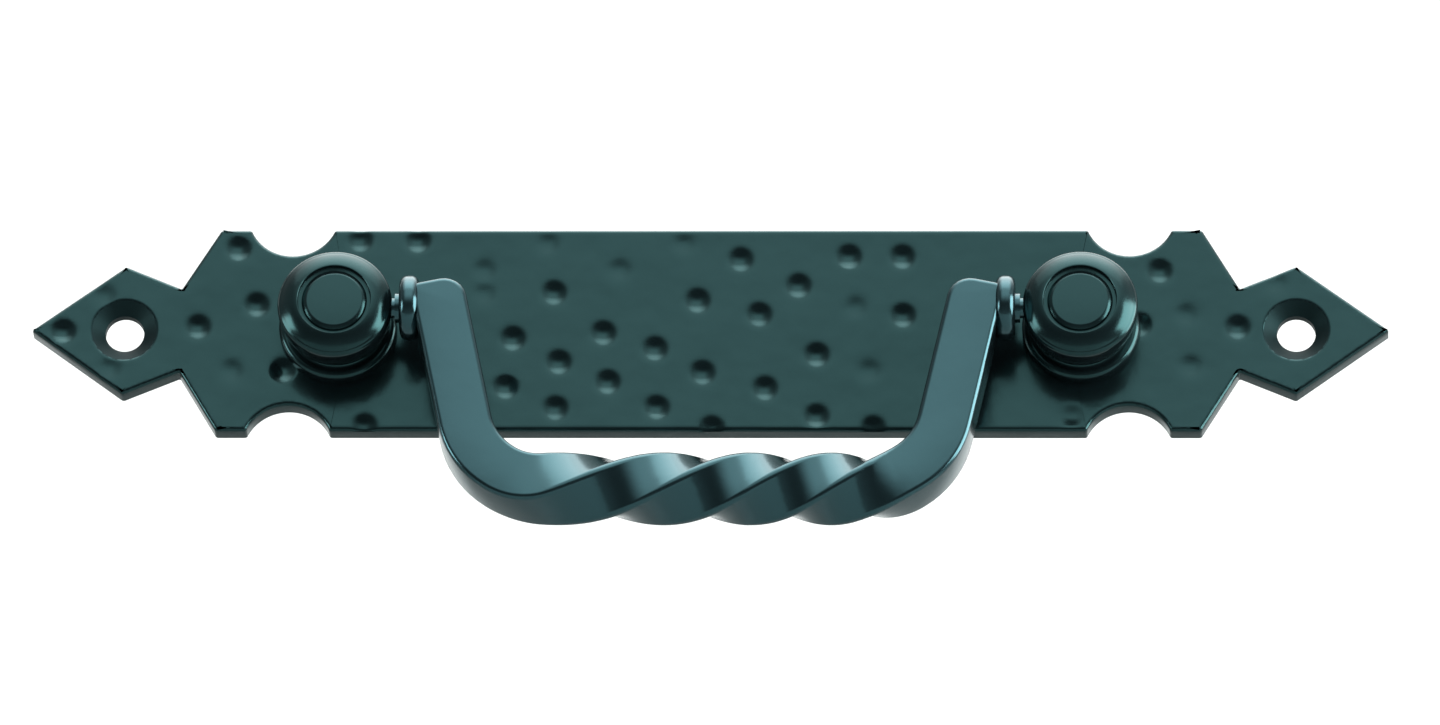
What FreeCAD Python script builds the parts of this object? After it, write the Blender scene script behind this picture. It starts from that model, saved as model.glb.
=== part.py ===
import FreeCAD, Part
import os
from math import asin, cos, degrees, radians, sin, sqrt, tan
from FreeCAD import Vector

# A hammered drop pull as it hangs on a drawer front, in millimetres.
# +Z is up, the plate's back lies on the plane Y = 0 and its front faces -Y.
# The origin is on the back face, midway between the two fixing holes.

# Fits between pieces
PIN_CLEARANCE = 0.06          # radial running fit of a pivot pin in its hole
PIN_END_PLAY = 0.35           # at each end of the bail
RIVET_CLEARANCE = 0.02        # radial, spigot and riveted head in the plate

# Backplate
PLATE_THICKNESS = 2.5
PLATE_HEIGHT = 28.4
PLATE_EDGE_ROUND = 0.5
HOLE_DIAMETER = 5.0
COUNTERSINK_DIAMETER = 8.6
COUNTERSINK_LAND = 0.6        # straight part left behind the countersink
SPEAR_HEIGHT = 18.1           # across the spear's corners, at the fixing hole
SPEAR_REACH = 12.0            # from the fixing hole out to the point
NECK_HEIGHT = 11.8
NECK_INSET = 7.3              # from the fixing hole in to the neck
SHOULDER_RUN = 4.9            # from the shoulder out to the neck
SHOULDER_LAND = 3.95          # full height left between a notch and the shoulder
NOTCH_RADIUS = 5.85
NOTCH_DEPTH = 3.6
NOTCH_OFFSET = 6.2            # from a post's axis out to the middle of its notches

# Hammer marks in the plate's front, each a shallow round dent
DENT_DIAMETER = 3.4
DENT_DEPTH = 0.5
FAINT_DENT_DIAMETER = 3.0
FAINT_DENT_DEPTH = 0.2

# Posts
POST_SPACING = 96.0
FOOT_DIAMETER = 15.2
FOOT_HEIGHT = 1.9
FOOT_ROUND = 0.8
HOLLOW_DEPTH = 0.6            # of the hollow between foot and head
HEAD_DIAMETER = 14.8
HEAD_BASE = 3.1               # underside of the head above the plate's front
HEAD_WIDEST = 7.8             # widest place of the head above the plate's front
BELLY_RADIUS = 12.0           # of the head's swelling side
SHOULDER_RADIUS = 0.9
CROWN_SLOPE = 28.0            # degrees the head's front falls away outward
CROWN_WIDTH = 2.4             # from the shoulder in to the groove round the button
GROOVE_WIDTH = 0.3
GROOVE_DEPTH = 0.8            # below the crown
BUTTON_RISE = 0.55            # above the bottom of the groove
BUTTON_BEVEL_WIDTH = 0.4
BUTTON_BEVEL_DROP = 0.2
SPIGOT_DIAMETER = 5.0
RIVET_DIAMETER = 7.4
RIVET_DEPTH = 1.1
PIVOT_HEIGHT = 6.8            # pivot axis above the plate's front
PIVOT_HOLE_DEPTH = 2.6        # from the side of the head

# Bail
BAR_SIDE = 7.0
BAR_EDGE_ROUND = 1.0
BAIL_DROP = 25.4              # pivot axis down to the middle of the grip
LEG_CLEARANCE = 2.7           # from the head's side to the leg's, on the pivot axis, for an upright leg
LEG_LEAN = 12.0               # degrees from upright
LEG_TOP = 2.8                 # above the pivot axis, along the leg
LEG_TOP_ROUND_INNER = 3.0
LEG_TOP_ROUND_OUTER = 1.3
BEND_RADIUS = 10.5
TWIST_LENGTH = 47.4
TWIST_TURNS = 1.0             # left-hand, seen along the bar
TWIST_QUICKENING = 1.25       # power of the way along the bar; 1 is an even twist
TWIST_STATIONS = 36           # places along the twist where the turn is set
COLLAR_DIAMETER = 8.4
COLLAR_WIDTH = 2.5
COLLAR_ROUND = 1.0
COLLAR_GAP = 0.95             # from the collar to the widest part of the head
NECK_DIAMETER = 3.8
PIN_DIAMETER = 2.6
PIN_CHAMFER = 0.3

TOUCHING = 1e-4               # points nearer than this are one point

# Places that follow from the sizes above
front_y = -PLATE_THICKNESS
pivot_y = front_y - PIVOT_HEIGHT
post_x = POST_SPACING / 2
head_side_x = post_x - HEAD_DIAMETER / 2
notch_x = post_x + NOTCH_OFFSET
notch_rise = NOTCH_RADIUS - NOTCH_DEPTH
notch_half = sqrt(NOTCH_RADIUS ** 2 - notch_rise ** 2)
shoulder_x = notch_x + notch_half + SHOULDER_LAND
neck_x = shoulder_x + SHOULDER_RUN
HOLE_SPACING = 2 * (neck_x + NECK_INSET)
hole_x = HOLE_SPACING / 2
LEG_SPACING = POST_SPACING - HEAD_DIAMETER - BAR_SIDE - 2 * LEG_CLEARANCE

# Middle of each dent on the plate's front, as X and Z
DENTS = [
    (-83.7, -0.2), (-66.2, 0.4), (-61.3, 11.5), (-58.7, 3.5), (-55.0, -5.7),
    (-45.5, 12.7), (-44.3, -13.6), (-38.0, 12.6), (-26.2, -8.1), (-25.4, -1.3),
    (-20.2, 5.2), (-19.7, -11.1), (-19.4, -4.6), (-13.7, -0.5), (-13.0, -7.4),
    (-7.0, -2.7), (-6.6, -11.0), (-1.6, 4.1), (-0.8, -6.1), (0.5, -13.9),
    (3.9, 9.9), (6.4, 2.1), (7.3, -8.3), (11.4, 6.2), (13.9, -3.6),
    (14.0, -12.2), (17.9, 10.3), (21.3, -13.9), (24.8, 10.3), (25.0, 2.0),
    (55.5, 0.7), (58.1, 8.3), (68.2, 0.3),
]
FAINT_DENTS = [
    (-78.4, 4.9), (-77.4, -5.4), (-61.6, -5.7), (-29.2, 8.5), (-29.2, 5.2),
    (-21.1, 12.3), (-11.7, 8.5), (-3.5, 12.2), (18.9, 3.2), (20.7, -5.8),
    (46.9, -12.2), (61.6, 2.2), (62.2, -5.1), (73.1, 6.6),
]


def arc(centre, radius, start, end, place):
    """An arc from start to end degrees, its points put in space by place."""
    middle = (start + end) / 2
    points = []
    for angle in (start, middle, end):
        across = centre[0] + radius * cos(radians(angle))
        along = centre[1] + radius * sin(radians(angle))
        points.append(place(across, along))
    return Part.Arc(*points).toShape()


def line(start, end, place):
    return Part.makeLine(place(*start), place(*end))


def on_plate(x, z):
    """A point of the plate's outline, on its back face."""
    return Vector(x, 0, z)


def upper_outline():
    """The plate's upper edge, from its left point to its right point."""
    top = PLATE_HEIGHT / 2
    notch_z = top + notch_rise
    opening = Vector(notch_half, -notch_rise, 0)
    open_angle = degrees(Vector(1, 0, 0).getAngle(opening))
    corners = [
        (hole_x + SPEAR_REACH, 0),
        (hole_x, SPEAR_HEIGHT / 2),
        (neck_x, NECK_HEIGHT / 2),
        (shoulder_x, top),
        (notch_x + notch_half, top),
    ]
    edges = []
    for first, second in zip(corners, corners[1:]):
        edges.append(line(first, second, on_plate))
    edges.append(arc((notch_x, notch_z), NOTCH_RADIUS, -open_angle, -180 + open_angle, on_plate))
    middle = line((notch_x - notch_half, top), (-notch_x + notch_half, top), on_plate)
    left = [edge.mirror(Vector(0, 0, 0), Vector(1, 0, 0)) for edge in edges]
    return edges + [middle] + left


def dent(x, z, diameter, depth):
    """The ball that a round punch leaves room for."""
    ball_radius = ((diameter / 2) ** 2 + depth ** 2) / (2 * depth)
    return Part.makeSphere(ball_radius, Vector(x, front_y - ball_radius + depth, z))


def countersunk_hole(x):
    """Fixing hole, countersunk from the front."""
    radius = HOLE_DIAMETER / 2
    wide = COUNTERSINK_DIAMETER / 2
    toward_front = Vector(0, -1, 0)
    hole = Part.makeCylinder(radius, PLATE_THICKNESS, Vector(x, 0, 0), toward_front)
    sink_depth = PLATE_THICKNESS - COUNTERSINK_LAND
    sink = Part.makeCone(radius, wide, sink_depth, Vector(x, -COUNTERSINK_LAND, 0), toward_front)
    return hole.fuse(sink)


def rivet_hole(x):
    """Hole for a post's spigot, countersunk from the back for the riveted end."""
    radius = SPIGOT_DIAMETER / 2 + RIVET_CLEARANCE
    wide = RIVET_DIAMETER / 2 + RIVET_CLEARANCE
    toward_front = Vector(0, -1, 0)
    hole = Part.makeCylinder(radius, PLATE_THICKNESS, Vector(x, 0, 0), toward_front)
    sink = Part.makeCone(wide, radius, RIVET_DEPTH, Vector(x, 0, 0), toward_front)
    return hole.fuse(sink)


def backplate():
    upper = upper_outline()
    lower = [edge.mirror(Vector(0, 0, 0), Vector(0, 0, 1)) for edge in upper]
    outline = Part.Wire(Part.__sortEdges__(upper + lower))
    blank = Part.Face(outline).extrude(Vector(0, front_y, 0))
    front_edges = []
    for edge in blank.Edges:
        if all(abs(vertex.Y - front_y) < TOUCHING for vertex in edge.Vertexes):
            front_edges.append(edge)
    plate = blank.makeFillet(PLATE_EDGE_ROUND, front_edges)
    cutters = [countersunk_hole(side * hole_x) for side in (-1, 1)]
    cutters += [rivet_hole(side * post_x) for side in (-1, 1)]
    cutters += [dent(x, z, DENT_DIAMETER, DENT_DEPTH) for x, z in DENTS]
    cutters += [dent(x, z, FAINT_DENT_DIAMETER, FAINT_DENT_DEPTH) for x, z in FAINT_DENTS]
    return plate.cut(cutters)


def post_profile(place):
    """Half of a post's section, from the axis at the back round to the axis at the front."""
    foot = FOOT_DIAMETER / 2
    spigot = SPIGOT_DIAMETER / 2
    rivet = RIVET_DIAMETER / 2
    head = HEAD_DIAMETER / 2
    hollow_middle = (FOOT_HEIGHT + HEAD_BASE) / 2
    belly_sweep = degrees(asin((HEAD_WIDEST - HEAD_BASE) / BELLY_RADIUS))
    base = head - BELLY_RADIUS * (1 - cos(radians(belly_sweep)))
    waist = base - HOLLOW_DEPTH
    slope = radians(CROWN_SLOPE)
    shoulder_r = head - SHOULDER_RADIUS * (1 - sin(slope))
    shoulder_h = HEAD_WIDEST + SHOULDER_RADIUS * cos(slope)
    groove = shoulder_r - CROWN_WIDTH
    crown_h = shoulder_h + CROWN_WIDTH * tan(slope)
    groove_h = crown_h - GROOVE_DEPTH
    button = groove - GROOVE_WIDTH
    button_h = groove_h + BUTTON_RISE
    face = button - BUTTON_BEVEL_WIDTH
    back = -PLATE_THICKNESS
    edges = [
        line((0, back), (rivet, back), place),
        line((rivet, back), (spigot, back + RIVET_DEPTH), place),
        line((spigot, back + RIVET_DEPTH), (spigot, 0), place),
        line((spigot, 0), (foot, 0), place),
        line((foot, 0), (foot, FOOT_HEIGHT - FOOT_ROUND), place),
        arc((foot - FOOT_ROUND, FOOT_HEIGHT - FOOT_ROUND), FOOT_ROUND, 0, 90, place),
        line((foot - FOOT_ROUND, FOOT_HEIGHT), (base, FOOT_HEIGHT), place),
        Part.Arc(place(base, FOOT_HEIGHT), place(waist, hollow_middle), place(base, HEAD_BASE)).toShape(),
        arc((head - BELLY_RADIUS, HEAD_WIDEST), BELLY_RADIUS, -belly_sweep, 0, place),
        arc((head - SHOULDER_RADIUS, HEAD_WIDEST), SHOULDER_RADIUS, 0, 90 - CROWN_SLOPE, place),
        line((shoulder_r, shoulder_h), (groove, crown_h), place),
        line((groove, crown_h), (groove, groove_h), place),
        line((groove, groove_h), (button, groove_h), place),
        line((button, groove_h), (button, button_h - BUTTON_BEVEL_DROP), place),
        line((button, button_h - BUTTON_BEVEL_DROP), (face, button_h), place),
        line((face, button_h), (0, button_h), place),
        line((0, button_h), (0, back), place),
    ]
    return Part.Face(Part.Wire(edges))


def post(side):
    """A turned post with its spigot, and a blind hole in the head for the bail's pin."""
    axis_x = side * post_x

    def place(radius, height):
        return Vector(axis_x + radius, front_y - height, 0)

    turned = post_profile(place).revolve(Vector(axis_x, 0, 0), Vector(0, 1, 0), 360)
    pin_hole = Part.makeCylinder(
        PIN_DIAMETER / 2 + PIN_CLEARANCE,
        COLLAR_GAP + PIVOT_HOLE_DEPTH,
        Vector(side * (head_side_x - COLLAR_GAP), pivot_y, 0),
        Vector(side, 0, 0),
    )
    return turned.cut(pin_hole)


# The bail's centre line: a straight grip, a bend at each end and two leaning legs
bend_sweep = 90 - LEG_LEAN
bend_z = -BAIL_DROP + BEND_RADIUS
leg_axis_x = LEG_SPACING / 2
leg_foot_rise = bend_z + BEND_RADIUS * -cos(radians(bend_sweep))
leg_foot_x = leg_axis_x + leg_foot_rise * tan(radians(LEG_LEAN))
bend_x = leg_foot_x - BEND_RADIUS * sin(radians(bend_sweep))
plain_x = max(bend_x - TWIST_LENGTH / 2, 0)
twist_into_bend = degrees(max(TWIST_LENGTH / 2 - bend_x, 0) / BEND_RADIUS)


def centre_line(way):
    """Point and direction of the bar at a way along it from the middle of the grip."""
    side = 1 if way >= 0 else -1
    past = abs(way) - bend_x
    if past <= 0:
        return Vector(way, pivot_y, -BAIL_DROP), Vector(1, 0, 0)
    turned = past / BEND_RADIUS
    x = side * (bend_x + BEND_RADIUS * sin(turned))
    z = bend_z - BEND_RADIUS * cos(turned)
    return Vector(x, pivot_y, z), Vector(cos(turned), 0, side * sin(turned))


def bar_frame(way, turn):
    """Middle of the bar and its two side directions, turned by so many degrees."""
    centre, along = centre_line(way)
    toward_door = Vector(0, 1, 0)
    spin = FreeCAD.Rotation(along, turn)
    return centre, spin.multVec(along.cross(toward_door)), spin.multVec(toward_door)


def bar_section(way, turn):
    """The bar's round-edged square."""
    centre, first, second = bar_frame(way, turn)
    half = BAR_SIDE / 2
    flat = half - BAR_EDGE_ROUND
    edges = []
    for corner in range(4):
        c = cos(radians(corner * 90))
        s = sin(radians(corner * 90))

        def place(a, b):
            return centre + first * (a * c - b * s) + second * (a * s + b * c)

        edges.append(line((half, -flat), (half, flat), place))
        edges.append(arc((flat, flat), BAR_EDGE_ROUND, 0, 90, place))
    return Part.Wire(edges)


def twist_spine():
    """Centre line of the twisted length, with the part of each bend it reaches into."""
    end = TWIST_LENGTH / 2
    if end <= bend_x + TOUCHING:
        return Part.Wire([Part.makeLine(centre_line(-end)[0], centre_line(end)[0])])
    inside_bend = (end + bend_x) / 2
    spots = [centre_line(way)[0] for way in (-end, -inside_bend, -bend_x, bend_x, inside_bend, end)]
    return Part.Wire([
        Part.Arc(*spots[:3]).toShape(),
        Part.makeLine(spots[2], spots[3]),
        Part.Arc(*spots[3:]).toShape(),
    ])


def twisted_grip():
    """A left-hand twist that tightens from left to right, as in a bar turned from one end."""
    turning_points = []
    for station in range(TWIST_STATIONS + 1):
        share = station / TWIST_STATIONS
        turn = -360 * TWIST_TURNS * share ** TWIST_QUICKENING
        centre, first, second = bar_frame(TWIST_LENGTH * (share - 0.5), turn)
        turning_points.append(centre + first * BAR_SIDE)
    helix = Part.BSplineCurve()
    helix.interpolate(turning_points)
    sweep = Part.BRepOffsetAPI.MakePipeShell(twist_spine())
    sweep.setAuxiliarySpine(Part.Wire([helix.toShape()]), False, 0)
    sweep.add(bar_section(-TWIST_LENGTH / 2, 0), False, False)
    sweep.build()
    sweep.makeSolid()
    return sweep.shape()


def leg(side):
    """A leg with the plain part of its bend, its long edges rounded."""
    half = BAR_SIDE / 2
    lean = radians(LEG_LEAN)
    up = Vector(side * sin(lean), 0, cos(lean))
    out = Vector(side * cos(lean), 0, -sin(lean))
    back_y = pivot_y + half
    top = Vector(side * leg_axis_x, back_y, 0)

    def on_leg(a, b):
        return top + out * a + up * b

    def on_bend(a, b):
        return Vector(side * (bend_x + a), back_y, bend_z + b)

    outer_radius = BEND_RADIUS + half
    inner_radius = BEND_RADIUS - half
    bend_start = -90 + twist_into_bend
    bend_end = -90 + bend_sweep
    outer_arc = arc((0, 0), outer_radius, bend_start, bend_end, on_bend)
    inner_arc = arc((0, 0), inner_radius, bend_end, bend_start, on_bend)
    outer_foot = on_bend(outer_radius * cos(radians(bend_end)), outer_radius * sin(radians(bend_end)))
    inner_foot = on_bend(inner_radius * cos(radians(bend_end)), inner_radius * sin(radians(bend_end)))
    cut_angle = radians(bend_start)
    outer_start = on_bend(outer_radius * cos(cut_angle), outer_radius * sin(cut_angle))
    inner_start = on_bend(inner_radius * cos(cut_angle), inner_radius * sin(cut_angle))
    along_grip = Vector(-side * plain_x, 0, 0)
    outer_cut = outer_start + along_grip
    inner_cut = inner_start + along_grip
    outer_corner = LEG_TOP_ROUND_OUTER
    inner_corner = LEG_TOP_ROUND_INNER
    edges = [
        outer_arc,
        Part.makeLine(outer_foot, on_leg(half, LEG_TOP - outer_corner)),
        arc((half - outer_corner, LEG_TOP - outer_corner), outer_corner, 0, 90, on_leg),
        line((half - outer_corner, LEG_TOP), (inner_corner - half, LEG_TOP), on_leg),
        arc((inner_corner - half, LEG_TOP - inner_corner), inner_corner, 90, 180, on_leg),
        Part.makeLine(on_leg(-half, LEG_TOP - inner_corner), inner_foot),
        inner_arc,
        Part.makeLine(inner_cut, outer_cut),
    ]
    if plain_x > TOUCHING:
        edges.append(Part.makeLine(inner_start, inner_cut))
        edges.append(Part.makeLine(outer_cut, outer_start))
    blank = Part.Face(Part.Wire(Part.__sortEdges__(edges))).extrude(Vector(0, -BAR_SIDE, 0))
    cut_middle = (outer_cut + inner_cut) / 2
    long_edges = []
    for edge in blank.Edges:
        ends = [vertex.Point for vertex in edge.Vertexes]
        runs_along_y = abs(ends[0].y - ends[-1].y) > TOUCHING
        middle = edge.CenterOfMass
        on_cut = Vector(middle.x, back_y, middle.z).distanceToPoint(cut_middle) < TOUCHING
        if not runs_along_y and not on_cut:
            long_edges.append(edge)
    return blank.makeFillet(BAR_EDGE_ROUND, long_edges)


def pivot_end(side):
    """The turned end of the bar: a collar beside the leg, a short neck and the pin."""
    collar = COLLAR_DIAMETER / 2
    neck = NECK_DIAMETER / 2
    pin = PIN_DIAMETER / 2
    collar_end = head_side_x - COLLAR_GAP
    collar_start = collar_end - COLLAR_WIDTH
    neck_end = head_side_x - PIN_END_PLAY
    pin_end = head_side_x + PIVOT_HOLE_DEPTH - PIN_END_PLAY

    def place(x, radius):
        return Vector(side * x, pivot_y, radius)

    edges = [
        line((leg_axis_x, 0), (leg_axis_x, neck), place),
        line((leg_axis_x, neck), (collar_start, neck), place),
        line((collar_start, neck), (collar_start, collar - COLLAR_ROUND), place),
        arc((collar_start + COLLAR_ROUND, collar - COLLAR_ROUND), COLLAR_ROUND, 180, 90, place),
        line((collar_start + COLLAR_ROUND, collar), (collar_end - COLLAR_ROUND, collar), place),
        arc((collar_end - COLLAR_ROUND, collar - COLLAR_ROUND), COLLAR_ROUND, 90, 0, place),
        line((collar_end, collar - COLLAR_ROUND), (collar_end, neck), place),
        line((collar_end, neck), (neck_end, neck), place),
        line((neck_end, neck), (neck_end, pin), place),
        line((neck_end, pin), (pin_end - PIN_CHAMFER, pin), place),
        line((pin_end - PIN_CHAMFER, pin), (pin_end, pin - PIN_CHAMFER), place),
        line((pin_end, pin - PIN_CHAMFER), (pin_end, 0), place),
        line((pin_end, 0), (leg_axis_x, 0), place),
    ]
    profile = Part.Face(Part.Wire(edges))
    return profile.revolve(Vector(0, pivot_y, 0), Vector(1, 0, 0), 360)


def bail():
    grip = twisted_grip()
    pieces = []
    for side in (-1, 1):
        pieces.append(leg(side))
        pieces.append(pivot_end(side))
    return grip.fuse(pieces)


os.makedirs("parts", exist_ok=True)
nodes = {
    "backplate": backplate(),
    "left_post": post(-1),
    "right_post": post(1),
    "bail": bail(),
}
for name, shape in nodes.items():
    shape.exportStep("parts/" + name + ".step")
    print(name, "solids", len(shape.Solids), "valid", shape.isValid(), "volume", round(shape.Volume, 1))
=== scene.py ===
from math import asin, cos, pi, radians, sin, sqrt, tan

import bmesh
import bpy
from mathutils import Matrix, Vector


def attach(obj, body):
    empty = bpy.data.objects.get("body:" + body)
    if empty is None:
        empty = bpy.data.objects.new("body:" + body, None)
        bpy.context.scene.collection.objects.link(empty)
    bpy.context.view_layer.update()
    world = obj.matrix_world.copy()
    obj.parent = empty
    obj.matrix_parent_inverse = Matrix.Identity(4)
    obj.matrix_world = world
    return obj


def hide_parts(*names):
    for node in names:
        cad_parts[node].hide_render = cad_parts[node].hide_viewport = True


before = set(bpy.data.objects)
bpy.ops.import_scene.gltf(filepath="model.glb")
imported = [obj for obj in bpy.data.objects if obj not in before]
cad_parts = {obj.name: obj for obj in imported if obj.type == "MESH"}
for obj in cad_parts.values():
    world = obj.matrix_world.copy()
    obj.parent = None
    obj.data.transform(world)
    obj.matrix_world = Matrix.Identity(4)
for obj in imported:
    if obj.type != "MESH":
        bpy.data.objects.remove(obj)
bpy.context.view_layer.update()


# Backplate
# A band of 2.5 mm steel plate, cut to a spear at each end and notched above and below each post.
# A round punch has struck its face all over, its front edges are eased, and it is lacquered black.
MM = 0.001
TOUCHING = 0.0005 * MM        # points nearer than this are one point

plate_thickness = 2.5 * MM
plate_half_height = 14.2 * MM
plate_edge_round = 0.5 * MM
corner_round = 0.25 * MM
eased_from = radians(20)      # only edges that bend more than this are eased
hole_x = 75.75 * MM
spear_half_height = 9.05 * MM
spear_reach = 12.0 * MM
neck_half_height = 5.9 * MM
neck_inset = 7.3 * MM
shoulder_inset = 12.2 * MM
post_x = 48.0 * MM
notch_x = post_x + 6.2 * MM
notch_radius = 5.85 * MM
notch_depth = 3.6 * MM
grid_pitch = 0.4 * MM

# Where the punch struck fully, and then where faintly, as X, Z, diameter and depth in millimetres
dent_diameter = 3.4
dent_depth = 0.5
faint_dent_diameter = 3.0
faint_dent_depth = 0.2
dents = [(x, z, dent_diameter, dent_depth) for x, z in [
    (-83.7, -0.2), (-66.2, 0.4), (-61.3, 11.5), (-58.7, 3.5), (-55.0, -5.7),
    (-45.5, 12.7), (-44.3, -13.6), (-38.0, 12.6), (-26.2, -8.1), (-25.4, -1.3),
    (-20.2, 5.2), (-19.7, -11.1), (-19.4, -4.6), (-13.7, -0.5), (-13.0, -7.4),
    (-7.0, -2.7), (-6.6, -11.0), (-1.6, 4.1), (-0.8, -6.1), (0.5, -13.9),
    (3.9, 9.9), (6.4, 2.1), (7.3, -8.3), (11.4, 6.2), (13.9, -3.6),
    (14.0, -12.2), (17.9, 10.3), (21.3, -13.9), (24.8, 10.3), (25.0, 2.0),
    (55.5, 0.7), (58.1, 8.3), (68.2, 0.3),
]] + [(x, z, faint_dent_diameter, faint_dent_depth) for x, z in [
    (-78.4, 4.9), (-77.4, -5.4), (-61.6, -5.7), (-29.2, 8.5), (-29.2, 5.2),
    (-21.1, 12.3), (-11.7, 8.5), (-3.5, 12.2), (18.9, 3.2), (20.7, -5.8),
    (46.9, -12.2), (61.6, 2.2), (62.2, -5.1), (73.1, 6.6),
]]


def chain(bm, points):
    """Vertices at the points, joined one to the next by edges."""
    verts = [bm.verts.new(point) for point in points]
    for first, second in zip(verts, verts[1:]):
        bm.edges.new((first, second))
    return verts


def of_kind(items, kind):
    """The vertices or the faces among the items that an operator gives back."""
    return [item for item in items if isinstance(item, kind)]


def smooth_between(bm, sharp_from):
    """Smooths the faces, and keeps the edges that bend more than so many degrees sharp."""
    for face in bm.faces:
        face.smooth = True
    for edge in bm.edges:
        edge.smooth = edge.calc_face_angle(0) < radians(sharp_from)


def made(name, bm, sharp_from=35):
    """An object from a finished bmesh, smooth but for the edges sharper than so many degrees."""
    bmesh.ops.remove_doubles(bm, verts=bm.verts[:], dist=TOUCHING)
    bmesh.ops.recalc_face_normals(bm, faces=bm.faces[:])
    smooth_between(bm, sharp_from)
    mesh = bpy.data.meshes.new(name)
    bm.to_mesh(mesh)
    bm.free()
    piece = bpy.data.objects.new(name, mesh)
    bpy.context.scene.collection.objects.link(piece)
    return piece


def turned(bm, profile, x, y, axis, steps=128):
    """Spins a profile a full turn about an axis that passes through x, y at Z = 0."""
    bmesh.ops.spin(
        bm, geom=profile, cent=(x, y, 0), axis=axis, angle=2 * pi, steps=steps, use_merge=True
    )


notch_rise = notch_radius - notch_depth
notch_half = sqrt(notch_radius ** 2 - notch_rise ** 2)
notch_centre = (notch_x, 0, plate_half_height + notch_rise)

bm = bmesh.new()
corners = chain(bm, [
    (hole_x + spear_reach, 0, 0),
    (hole_x, 0, spear_half_height),
    (hole_x - neck_inset, 0, neck_half_height),
    (hole_x - shoulder_inset, 0, plate_half_height),
    (notch_x + notch_half, 0, plate_half_height),
])
notch_turn = 2 * Vector((0, 1)).angle(Vector((notch_half, notch_rise)))
arc = bmesh.ops.spin(
    bm, geom=[corners[-1]], cent=notch_centre, axis=(0, 1, 0), angle=notch_turn, steps=24
)
last = of_kind(arc["geom_last"], bmesh.types.BMVert)[0]
bm.edges.new((last, bm.verts.new((0, 0, plate_half_height))))
for axis in "XZ":
    bmesh.ops.mirror(
        bm, geom=bm.verts[:] + bm.edges[:], matrix=Matrix(), merge_dist=TOUCHING, axis=axis
    )
bmesh.ops.remove_doubles(bm, verts=bm.verts[:], dist=TOUCHING)

# The fixing holes are countersunk from the front, the posts' holes from the back for their riveted ends
hole_radius = 2.5 * MM
countersink_radius = 4.3 * MM
countersink_land = 0.6 * MM
countersink_round = 0.25 * MM
spigot_radius = 2.5 * MM
rivet_radius = 3.7 * MM
rivet_depth = 1.1 * MM
rivet_clearance = 0.02 * MM
hole_margin = 1 * MM          # what lies this near outside a hole still belongs to it
for x, radius in ((hole_x, hole_radius), (post_x, rivet_radius + rivet_clearance)):
    for side in (-1, 1):
        bmesh.ops.create_circle(
            bm, segments=72, radius=radius,
            matrix=Matrix.Translation((side * x, 0, 0)) @ Matrix.Rotation(pi / 2, 4, "X"),
        )
filled = bmesh.ops.triangle_fill(bm, use_beauty=True, use_dissolve=False, edges=bm.edges[:])
region = of_kind(filled["geom"], bmesh.types.BMFace)
spigot_hole = spigot_radius + rivet_clearance
rivet_taper = (rivet_radius - spigot_radius) / rivet_depth
for depth, hole, rivet in (
    (countersink_land, hole_radius, rivet_radius + rivet_clearance - rivet_taper * countersink_land),
    (rivet_depth, None, spigot_hole),
    (plate_thickness, countersink_radius, spigot_hole),
):
    below = region
    extruded = bmesh.ops.extrude_face_region(bm, geom=region)
    region = of_kind(extruded["geom"], bmesh.types.BMFace)
    moved = of_kind(extruded["geom"], bmesh.types.BMVert)
    if depth > countersink_land:
        bmesh.ops.delete(bm, geom=below, context="FACES")
    for vert in moved:
        vert.co.y = -depth
        for x, radius in ((hole_x, hole), (post_x, rivet)):
            middle = Vector((x if vert.co.x > 0 else -x, -depth, 0))
            if radius and (vert.co - middle).length < rivet_radius + hole_margin:
                vert.co = middle + (vert.co - middle).normalized() * radius
bmesh.ops.recalc_face_normals(bm, faces=bm.faces[:])


def in_hole(edge):
    """Whether an edge lies on one of the plate's four holes."""
    spot = edge.verts[0].co
    nearest = min(Vector((abs(spot.x) - x, spot.z)).length for x in (hole_x, post_x))
    return nearest < countersink_radius + hole_margin


uprights = []
for edge in bm.edges:
    goes_through = abs(edge.verts[0].co.y - edge.verts[1].co.y) > TOUCHING
    if goes_through and not in_hole(edge) and edge.calc_face_angle(0) > eased_from:
        uprights.append(edge)
bmesh.ops.bevel(
    bm, geom=uprights, offset=corner_round, segments=3, profile=0.5, affect="EDGES", material=-1
)
under_foot = 4 * MM           # the posts' holes lie nearer than this to the posts' axes and stay square
for around_hole, rounding in ((False, plate_edge_round), (True, countersink_round)):
    rim = []
    for edge in bm.edges:
        in_front = all(vert.co.y < -plate_thickness + TOUCHING for vert in edge.verts)
        spot = edge.verts[0].co
        under_post = abs(abs(spot.x) - post_x) < under_foot and abs(spot.z) < under_foot
        bends = edge.calc_face_angle(0) > eased_from
        if in_front and bends and not under_post and in_hole(edge) == around_hole:
            rim.append(edge)
    bmesh.ops.bevel(
        bm, geom=rim, offset=rounding, segments=4, profile=0.5, affect="EDGES", material=-1
    )

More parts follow.
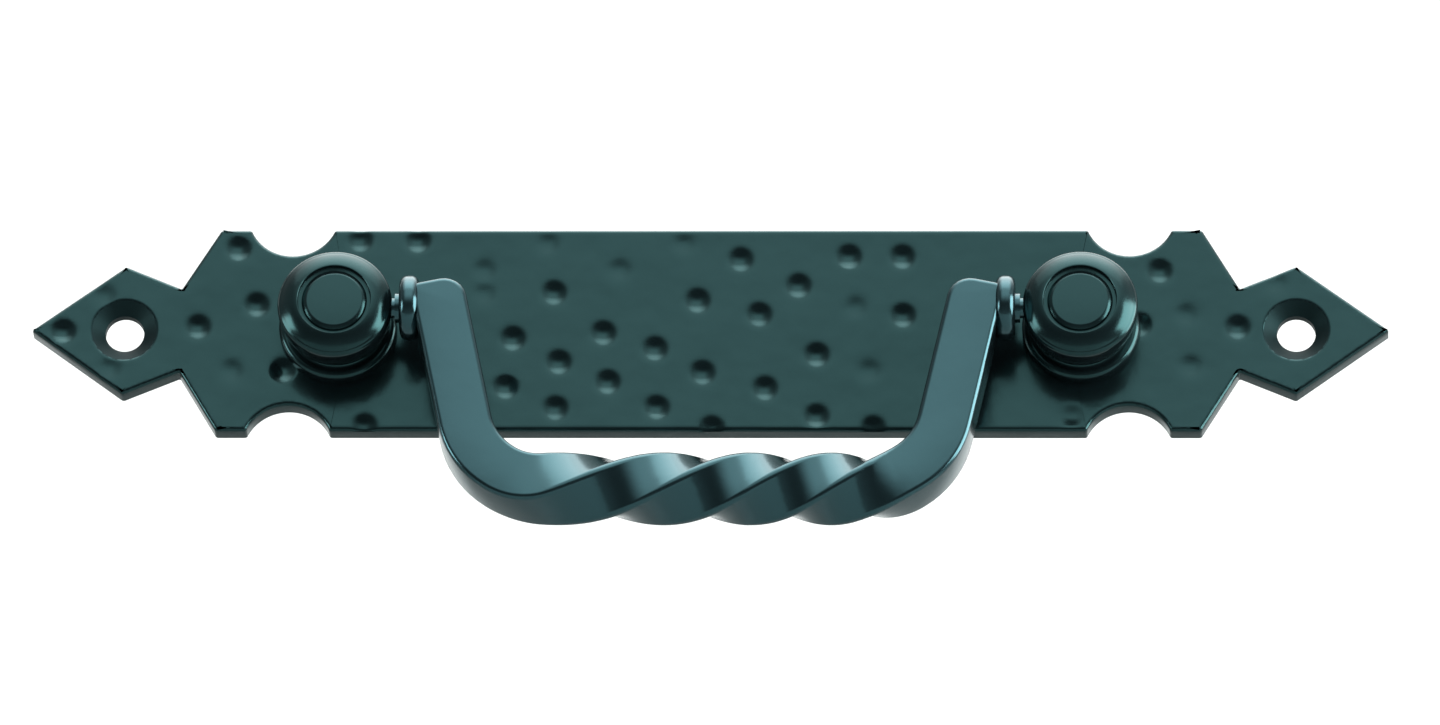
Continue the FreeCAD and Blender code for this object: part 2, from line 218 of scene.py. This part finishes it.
# The face is divided finely enough for the dents, which are pressed in below
reach = hole_x + spear_reach
front_y = -plate_thickness + plate_edge_round
for axis, half in (((1, 0, 0), reach), ((0, 0, 1), plate_half_height)):
    cuts = int(2 * half / grid_pitch)
    for step in range(1, cuts):
        spot = Vector(axis) * (-half + 2 * half * step / cuts)
        faces = [face for face in bm.faces if face.calc_center_median().y < front_y]
        edges = list({edge for face in faces for edge in face.edges})
        bmesh.ops.bisect_plane(bm, geom=faces + edges, dist=TOUCHING, plane_co=spot, plane_no=axis)
dent_lip = 0.15 * MM
lip_reach = 2.0               # how far out a dent's soft lip goes, in the dent's own radii
for vert in bm.verts:
    if vert.co.y > front_y:
        continue
    sunk = 0
    for x, z, diameter, depth in dents:
        away = ((vert.co.x - x * MM) ** 2 + (vert.co.z - z * MM) ** 2) / (diameter / 2 * MM) ** 2
        if away < lip_reach ** 2:
            bowl = depth * MM * (1 - away)
            sunk += (bowl + sqrt(bowl ** 2 + dent_lip ** 2)) / 2 * (1 - away / lip_reach ** 2)
    vert.co.y += sunk
backplate = made("hammered_backplate", bm)


def colour(code):
    """A linear colour from sRGB hex digits."""
    linear = []
    for place in (0, 2, 4):
        part = int(code[place:place + 2], 16) / 255
        linear.append(part / 12.92 if part <= 0.04045 else ((part + 0.055) / 1.055) ** 2.4)
    return linear + [1]


def add_node(material, kind, settings=None, **links):
    """Adds a node with its settings and inputs, named or numbered; one that is a socket is linked."""
    tree = material.node_tree
    node = tree.nodes.new(kind)
    for name, value in (settings or {}).items():
        setattr(node, name, value)
    for name, value in links.items():
        socket = node.inputs[int(name[1:])] if name[0] == "_" else node.inputs[name.replace("_", " ")]
        if isinstance(value, bpy.types.NodeSocket):
            tree.links.new(value, socket)
        else:
            socket.default_value = value
    return node


peel_pitch = 0.9 * MM
peel_depth = 0.008 * MM


def lacquer(name, waviness, wave_pitch, base="0a1113", roughness=0.19, ior=1.5, tint="a2f6f8"):
    """Sprayed black lacquer: a faint orange peel over the metal's own unevenness."""
    material = bpy.data.materials.new(name)
    material.use_nodes = True
    tree = material.node_tree
    shader = tree.nodes["Principled BSDF"]
    shader.inputs["Base Color"].default_value = colour(base)
    shader.inputs["Roughness"].default_value = roughness
    shader.inputs["IOR"].default_value = ior
    shader.inputs["Specular Tint"].default_value = colour(tint)
    place = add_node(material, "ShaderNodeTexCoord").outputs["Object"]
    waves = add_node(
        material, "ShaderNodeTexNoise", Vector=place, Scale=1 / wave_pitch, Detail=2.0, Roughness=0.5
    )
    peel = add_node(
        material, "ShaderNodeTexNoise", Vector=place, Scale=1 / peel_pitch, Detail=2.0, Roughness=0.6
    )
    uneven = add_node(
        material, "ShaderNodeBump", Height=waves.outputs["Fac"], Strength=1.0, Distance=waviness
    )
    bump = add_node(
        material, "ShaderNodeBump", Height=peel.outputs["Fac"], Strength=1.0, Distance=peel_depth,
        Normal=uneven.outputs["Normal"],
    )
    tree.links.new(bump.outputs["Normal"], shader.inputs["Normal"])
    return material


# Black lacquer over hammered steel is wavy from blow to blow, about 8 mm apart
backplate.data.materials.append(lacquer("black_lacquer_on_hammered_plate", 0.20 * MM, 8 * MM))

# Painted shade: in the countersinks the lacquer gets less gloss and more roughness, so they stay dark
# from every side, standing in for the shade in these recesses
backplate.data.materials.append(
    lacquer("black_lacquer_with_painted_shade_in_countersinks", 0.02 * MM, 4 * MM, roughness=0.5, ior=1.3)
)
# The faces inside the countersinks take this darker copy of the lacquer as painted shade
painted_shade_radius = countersink_radius - 0.05 * MM
painted_shade_from_y = -0.1 * MM
for face in backplate.data.polygons:
    from_hole = Vector((abs(face.center.x) - hole_x, face.center.z)).length
    if from_hole < painted_shade_radius and face.center.y < painted_shade_from_y:
        face.material_index = 1
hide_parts("backplate")
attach(backplate, "plate")


# Posts
# Two posts turned from steel bar: a foot, a narrow hollow, and a full head with a button in its crown.
# A spigot behind each foot goes through the plate and is riveted over in its back.
foot_radius = 7.6 * MM
foot_height = 1.9 * MM
foot_round = 0.8 * MM
hollow_depth = 0.6 * MM
head_radius = 7.4 * MM
head_base = 3.1 * MM
head_widest = 7.8 * MM
belly_radius = 12.0 * MM
shoulder_radius = 0.9 * MM
crown_slope = radians(28)
crown_width = 2.2 * MM
crown_swell = radians(32)     # how far the crown's slope changes from the groove out to the shoulder
groove_width = 0.6 * MM
groove_depth = 0.8 * MM
button_rise = 0.55 * MM
button_bevel_width = 0.55 * MM
button_bevel_drop = 0.3 * MM
turned_edge_round = 0.10 * MM
pivot_height = 6.8 * MM
pivot_y = -plate_thickness - pivot_height
pin_hole_radius = 1.36 * MM
pin_hole_depth = 2.6 * MM


def swept(centre_r, centre_h, radius, start, end, steps):
    """Points of an arc in a turned piece's section, from start to end in radians."""
    points = []
    for step in range(steps + 1):
        angle = start + (end - start) * step / steps
        points.append((centre_r + radius * cos(angle), centre_h + radius * sin(angle)))
    return points


def cut_away(piece, cutter, sharp_from=35):
    """Takes the cutter's space out of a piece, and the cutter out of the scene."""
    modifier = piece.modifiers.new("cut", "BOOLEAN")
    modifier.operation = "DIFFERENCE"
    modifier.solver = "EXACT"
    modifier.object = cutter
    whole = piece.data
    bpy.context.view_layer.update()
    finished = piece.evaluated_get(bpy.context.evaluated_depsgraph_get())
    piece.data = bpy.data.meshes.new_from_object(finished)
    piece.modifiers.clear()
    bpy.data.objects.remove(cutter)
    bpy.data.meshes.remove(whole)
    bm = bmesh.new()
    bm.from_mesh(piece.data)
    smooth_between(bm, sharp_from)
    bm.to_mesh(piece.data)
    bm.free()


belly_sweep = asin((head_widest - head_base) / belly_radius)
neck_radius_at_head = head_radius - belly_radius * (1 - cos(belly_sweep))
hollow_half = (head_base - foot_height) / 2
hollow_arc = (hollow_half ** 2 + hollow_depth ** 2) / (2 * hollow_depth)
hollow_open = asin(hollow_half / hollow_arc)
shoulder_r = head_radius - shoulder_radius * (1 - sin(crown_slope))
shoulder_h = head_widest + shoulder_radius * cos(crown_slope)
groove_r = shoulder_r - crown_width
crown_h = shoulder_h + crown_width * tan(crown_slope)
crown_radius = crown_width / cos(crown_slope) / (2 * sin(crown_swell / 2))
crown_r = (shoulder_r + groove_r) / 2 - crown_radius * cos(crown_swell / 2) * sin(crown_slope)
crown_centre_h = (shoulder_h + crown_h) / 2 - crown_radius * cos(crown_swell / 2) * cos(crown_slope)
groove_h = crown_h - groove_depth
button_r = groove_r - groove_width
button_h = groove_h + button_rise
for side, name in ((-1, "left"), (1, "right")):
    bm = bmesh.new()
    section = [
        (0, -plate_thickness), (rivet_radius, -plate_thickness),
        (spigot_radius, -plate_thickness + rivet_depth), (spigot_radius, 0), (foot_radius, 0),
    ]
    section += swept(foot_radius - foot_round, foot_height - foot_round, foot_round, 0, pi / 2, 8)
    section += swept(
        neck_radius_at_head + hollow_arc - hollow_depth, foot_height + hollow_half, hollow_arc,
        pi + hollow_open, pi - hollow_open, 10,
    )
    section += swept(head_radius - belly_radius, head_widest, belly_radius, -belly_sweep, 0, 12)
    crown_facing = pi / 2 - crown_slope
    section += swept(
        head_radius - shoulder_radius, head_widest, shoulder_radius, 0, crown_facing, 20
    )
    section += swept(
        crown_r, crown_centre_h, crown_radius,
        crown_facing - crown_swell / 2, crown_facing + crown_swell / 2, 16,
    )[1:]
    section += [
        (groove_r, groove_h), (button_r, groove_h), (button_r, button_h - button_bevel_drop),
        (button_r - button_bevel_width, button_h), (0, button_h),
    ]
    verts = chain(bm, [(side * post_x + r, -plate_thickness - h, 0) for r, h in section])
    corners = []
    for before, vert, after in zip(verts, verts[1:], verts[2:]):
        bend = (vert.co - before.co).angle(after.co - vert.co, 0)
        if bend > eased_from and vert.co.y < -plate_thickness - foot_height / 2:
            corners.append(vert)
    bmesh.ops.bevel(
        bm, geom=corners, offset=turned_edge_round, segments=3, profile=0.5,
        affect="VERTICES", material=-1,
    )
    turned(bm, bm.verts[:] + bm.edges[:], side * post_x, 0, (0, 1, 0))
    post = made(name + "_turned_post", bm)

    # The bail's pin turns in a blind hole in the side of the head that faces the middle of the plate
    bm = bmesh.new()
    hole_mouth = Matrix.Translation((side * (post_x - head_radius), pivot_y, 0))
    bmesh.ops.create_cone(
        bm, cap_ends=True, segments=64, radius1=pin_hole_radius, radius2=pin_hole_radius,
        depth=2 * pin_hole_depth, matrix=hole_mouth @ Matrix.Rotation(pi / 2, 4, "Y"),
    )
    cut_away(post, made("pin_hole_cutter", bm))

    # Turned steel is true under its lacquer, so its highlights stay narrow and even
    post.data.materials.append(lacquer("black_lacquer_on_turned_" + name + "_post", 0.02 * MM, 4 * MM))
    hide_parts(name + "_post")
    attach(post, "plate")


# Bail
# One 7 mm square bar of steel, forged with a collar and a pin at each end, bent down at both sides,
# and twisted a full turn along the grip, tighter toward the right. Its edges are eased.
bar_side = 7.0 * MM
bar_edge_round = 0.7 * MM
bail_drop = 25.4 * MM
leg_axis_x = 34.4 * MM
leg_lean = radians(12)
leg_top = 2.8 * MM
leg_top_round_inner = 3.0 * MM
leg_top_round_outer = 1.3 * MM
bend_radius = 10.5 * MM
twist_length = 47.4 * MM
twist_quickening = 1.25
twist_ease = 0.06             # how far past each end the turn fades out, as a share of the twist
twist_steps = 132
bend_steps = 16
plain_gap = 0.3 * MM          # the last plain station before the twist lies at least this far from it
square_corner = 1.0           # radians; the leg's cut end meets its sides at more than this
arris_from = radians(50)      # the bar's arrises bend more than this

bend_sweep = pi / 2 - leg_lean
bend_z = -bail_drop + bend_radius
leg_foot_z = bend_z - bend_radius * cos(bend_sweep)
leg_foot_x = leg_axis_x + leg_foot_z * tan(leg_lean)
bend_x = leg_foot_x - bend_radius * sin(bend_sweep)
bend_length = bend_radius * bend_sweep
leg_length = leg_top - leg_foot_z / cos(leg_lean)
half_length = bend_x + bend_length + leg_length


def turn_so_far(share):
    """Share of the twist's full turn at a share of its length, eased at both ends."""
    sums = []
    for spot in (share - twist_ease, share + twist_ease):
        inside = min(max(spot, 0), 1)
        sums.append(inside ** (twist_quickening + 1) / (twist_quickening + 1) + max(spot - 1, 0))
    return (sums[1] - sums[0]) / (2 * twist_ease)


def bar_place(way):
    """The bar's frame at a way along it from the middle of the grip, as a matrix."""
    side = 1 if way >= 0 else -1
    along = abs(way)
    turned_by = min(max(along - bend_x, 0), bend_length) / bend_radius
    x = min(along, bend_x) + bend_radius * sin(turned_by)
    z = bend_z - bend_radius * cos(turned_by)
    past = max(along - bend_x - bend_length, 0)
    x += past * cos(turned_by)
    z += past * sin(turned_by)
    spin = Matrix.Rotation(-2 * pi * turn_so_far(way / twist_length + 0.5), 4, "X")
    lean = Matrix.Rotation(-side * turned_by, 4, "Y")
    return Matrix.Translation((side * x, pivot_y, z)) @ lean @ spin


# The stations are ways along the bar where it gets a cross-section, from its left top to its right top
below_rounding = -half_length + 1.6 * leg_top_round_inner
stations = [-half_length, below_rounding, -bend_x - bend_length]
stations += [-bend_x - bend_length * (1 - step / bend_steps) for step in range(1, bend_steps)]
twist_start = -twist_length * (0.5 + twist_ease)
plain = [way for way in stations if way < twist_start - plain_gap]
stations = plain + [twist_start * (1 - 2 * step / twist_steps) for step in range(twist_steps + 1)]
stations += [-way for way in reversed(plain)]

bm = bmesh.new()
bmesh.ops.create_grid(
    bm, x_segments=1, y_segments=1, size=bar_side / 2, matrix=Matrix.Rotation(pi / 2, 4, "Y")
)
bmesh.ops.transform(bm, matrix=bar_place(stations[0]), verts=bm.verts[:])
tip = bm.faces[:]
for before, after in zip(stations, stations[1:]):
    last_tip = tip
    extruded = bmesh.ops.extrude_face_region(bm, geom=tip)
    tip = of_kind(extruded["geom"], bmesh.types.BMFace)
    moved = of_kind(extruded["geom"], bmesh.types.BMVert)
    bmesh.ops.transform(bm, matrix=bar_place(after) @ bar_place(before).inverted(), verts=moved)
    if before > stations[0]:
        bmesh.ops.delete(bm, geom=last_tip, context="FACES")
bmesh.ops.recalc_face_normals(bm, faces=bm.faces[:])
for rounding, outer in ((leg_top_round_outer, True), (leg_top_round_inner, False)):
    top_edges = []
    for edge in bm.edges:
        middle = (edge.verts[0].co + edge.verts[1].co) / 2
        across = abs(edge.verts[0].co.y - edge.verts[1].co.y) > bar_side / 2
        on_this_side = (abs(middle.x) > leg_axis_x) == outer
        if across and middle.z > 0 and on_this_side and edge.calc_face_angle(0) > square_corner:
            top_edges.append(edge)
    bmesh.ops.bevel(
        bm, geom=top_edges, offset=rounding, segments=6, profile=0.5, affect="EDGES", material=-1
    )
arrises = [edge for edge in bm.edges if edge.calc_face_angle(0) > arris_from]
bmesh.ops.bevel(
    bm, geom=arrises, offset=bar_edge_round, segments=5, profile=0.5, affect="EDGES", material=-1
)

# Each end: a collar against the leg, a short neck and the pin that turns in the post
collar_radius = 4.2 * MM
collar_width = 2.5 * MM
collar_round = 1.0 * MM
collar_gap = 0.95 * MM
neck_radius = 1.9 * MM
pin_radius = 1.3 * MM
pin_end_play = 0.35 * MM
pin_chamfer = 0.3 * MM
head_side_x = post_x - head_radius
collar_end = head_side_x - collar_gap
collar_start = collar_end - collar_width
collar_flat = collar_radius - collar_round
neck_end = head_side_x - pin_end_play
pin_end = head_side_x + pin_hole_depth - pin_end_play
for side in (-1, 1):
    points = [(leg_axis_x, 0), (leg_axis_x, neck_radius), (collar_start, neck_radius)]
    points += swept(collar_start + collar_round, collar_flat, collar_round, pi, pi / 2, 8)
    points += swept(collar_end - collar_round, collar_flat, collar_round, pi / 2, 0, 8)
    points += [
        (collar_end, neck_radius), (neck_end, neck_radius), (neck_end, pin_radius),
        (pin_end - pin_chamfer, pin_radius), (pin_end, pin_radius - pin_chamfer), (pin_end, 0),
    ]
    verts = chain(bm, [(side * x, pivot_y, r) for x, r in points])
    edges = [edge for edge in bm.edges if edge.verts[0] in verts and edge.verts[1] in verts]
    turned(bm, verts + edges, 0, pivot_y, (1, 0, 0), steps=64)
bail = made("twisted_bail", bm, sharp_from=40)

# Forged bar is faintly wavy, and the lacquer flows out well on it, so it mirrors the room more strongly
bail.data.materials.append(
    lacquer("black_lacquer_on_forged_bar", 0.05 * MM, 6 * MM, ior=1.8, tint="a6f2ff")
)
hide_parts("bail")
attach(bail, "bail")


# Backdrop
# A wide sheet of white paper hangs well behind the pull and sweeps forward into a pale floor below it.
# It is made one-sided, so that views from behind and from below look through it. Sizes are in metres.
wall_y = 0.35
wall_top = 0.55
floor_y = -0.5
floor_z = -0.5
paper_bend = 0.2
paper_half_width = 12
bm = bmesh.new()
sweep = chain(bm, [
    (-paper_half_width, floor_y, floor_z),
    (-paper_half_width, wall_y, floor_z),
    (-paper_half_width, wall_y, wall_top),
])
bmesh.ops.bevel(
    bm, geom=[sweep[1]], offset=paper_bend, segments=16, profile=0.5, affect="VERTICES", material=-1
)
wide = bmesh.ops.extrude_edge_only(bm, edges=bm.edges[:])
far_side = of_kind(wide["geom"], bmesh.types.BMVert)
bmesh.ops.translate(bm, verts=far_side, vec=(2 * paper_half_width, 0, 0))
backdrop = made("paper_backdrop", bm, sharp_from=60)
for face in backdrop.data.polygons:
    if face.normal.y > 0.5 or face.normal.z < -0.5:
        backdrop.data.flip_normals()
        break

# Matt white paper has no gloss. Above the pull's height it is pure white, also where the lacquer
# mirrors it, and below that it falls off to the plain lit paper of the floor.
white_from_z = -0.08
white_above_z = 0.08
paper = bpy.data.materials.new("white_paper")
paper.use_nodes = True
paper.node_tree.nodes.clear()
matt = add_node(paper, "ShaderNodeBsdfDiffuse", Color=colour("969998"))
path = add_node(paper, "ShaderNodeLightPath").outputs
spot = add_node(paper, "ShaderNodeTexCoord").outputs["Object"]
rise = add_node(paper, "ShaderNodeSeparateXYZ", Vector=spot).outputs["Z"]
upper = add_node(
    paper, "ShaderNodeMapRange", {"interpolation_type": "SMOOTHSTEP"},
    _0=rise, _1=white_from_z, _2=white_above_z, _3=0.0, _4=1.0,
)
strength = path["Is Camera Ray"]
for operation, value in (
    ("ADD", path["Is Glossy Ray"]),
    ("ADD", path["Is Transmission Ray"]),
    ("MULTIPLY", upper.outputs[0]),
):
    strength = add_node(
        paper, "ShaderNodeMath", {"operation": operation}, _0=strength, _1=value
    ).outputs[0]
glow = add_node(paper, "ShaderNodeEmission", Color=colour("dcdedd"), Strength=strength)
both = add_node(paper, "ShaderNodeAddShader", _0=matt.outputs[0], _1=glow.outputs[0])
clear = add_node(paper, "ShaderNodeBsdfTransparent")
behind = add_node(paper, "ShaderNodeNewGeometry").outputs["Backfacing"]
one_sided = add_node(paper, "ShaderNodeMixShader", _0=behind, _1=both.outputs[0], _2=clear.outputs[0])
add_node(paper, "ShaderNodeOutputMaterial", Surface=one_sided.outputs[0])
backdrop.data.materials.append(paper)


# Light
# A large soft box stands at the right, a small one at the left, and a weak one hangs above and in front.
# The room is pale from the pull's height up and palest overhead, and dim at both sides and below.
def soft_box(name, place, width, height, watts):
    """An area light turned toward the pull."""
    lamp = bpy.data.lights.new(name, "AREA")
    lamp.shape = "RECTANGLE"
    lamp.size = width
    lamp.size_y = height
    lamp.energy = watts
    holder = bpy.data.objects.new(name, lamp)
    holder.location = place
    holder.rotation_euler = (Vector() - Vector(place)).to_track_quat("-Z", "Y").to_euler()
    bpy.context.scene.collection.objects.link(holder)


soft_box("top_soft_box", place=(0, -0.32, 0.92), width=1.6, height=0.7, watts=3)
soft_box("right_soft_box", place=(0.97, -0.26, 0.07), width=1.0, height=0.66, watts=21)
soft_box("left_soft_box", place=(-0.93, -0.38, -0.05), width=0.40, height=0.32, watts=3.2)

world = bpy.data.worlds.new("studio")
world.use_nodes = True
bpy.context.scene.world = world
sky = world.node_tree.nodes["Background"]
sky.inputs["Color"].default_value = colour("ffffff")
direction = add_node(world, "ShaderNodeTexCoord").outputs["Generated"]
ways = add_node(world, "ShaderNodeSeparateXYZ", Vector=direction).outputs

# Each fade runs along one way of the room, from start to end, and changes smoothly from low to high
fades = []
for way, start, end, low, high in (
    ("Z", -0.08, 0.5, 0, 2.1),
    ("Z", 0.66, 1.0, 0, 2.4),
    ("X", -0.65, -0.12, 0.12, 1),
    ("X", 0.25, 0.75, 1, 0.3),
    ("Z", -0.8, -0.25, 0.35, 0.11),
):
    fade = add_node(
        world, "ShaderNodeMapRange", {"interpolation_type": "SMOOTHSTEP"},
        _0=ways[way], _1=start, _2=end, _3=low, _4=high,
    )
    fades.append(fade.outputs[0])
upper_room, overhead, left_dimming, right_dimming, below = fades
room = upper_room
for operation, fade in (
    ("ADD", overhead),
    ("MULTIPLY", left_dimming),
    ("MULTIPLY", right_dimming),
    ("ADD", below),
):
    room = add_node(world, "ShaderNodeMath", {"operation": operation}, _0=room, _1=fade).outputs[0]
world.node_tree.links.new(room, sky.inputs["Strength"])


# Camera
# It stands 24 degrees below the pull and a little to its right, as in the photograph,
# and far enough off that the picture has little perspective.
azimuth = radians(2.5)
elevation = radians(-24)
camera_distance = 2.0
aim = Vector((1.45, -2.5, -4.64)) * MM
seen_width = 185.8 * MM
toward_camera = Vector((sin(azimuth) * cos(elevation), -cos(azimuth) * cos(elevation), sin(elevation)))
lens = bpy.data.cameras.new("camera")
lens.sensor_width = 36
lens.lens = lens.sensor_width * camera_distance / seen_width
camera = bpy.data.objects.new("camera", lens)
to_right = (Vector((1, 0, 0)) - toward_camera * toward_camera.x).normalized()
turn = Matrix((to_right, toward_camera.cross(to_right), toward_camera)).transposed()
camera.matrix_world = Matrix.Translation(aim + toward_camera * camera_distance) @ turn.to_4x4()
bpy.context.scene.collection.objects.link(camera)
bpy.context.scene.camera = camera
bpy.context.scene.view_settings.view_transform = "Standard"
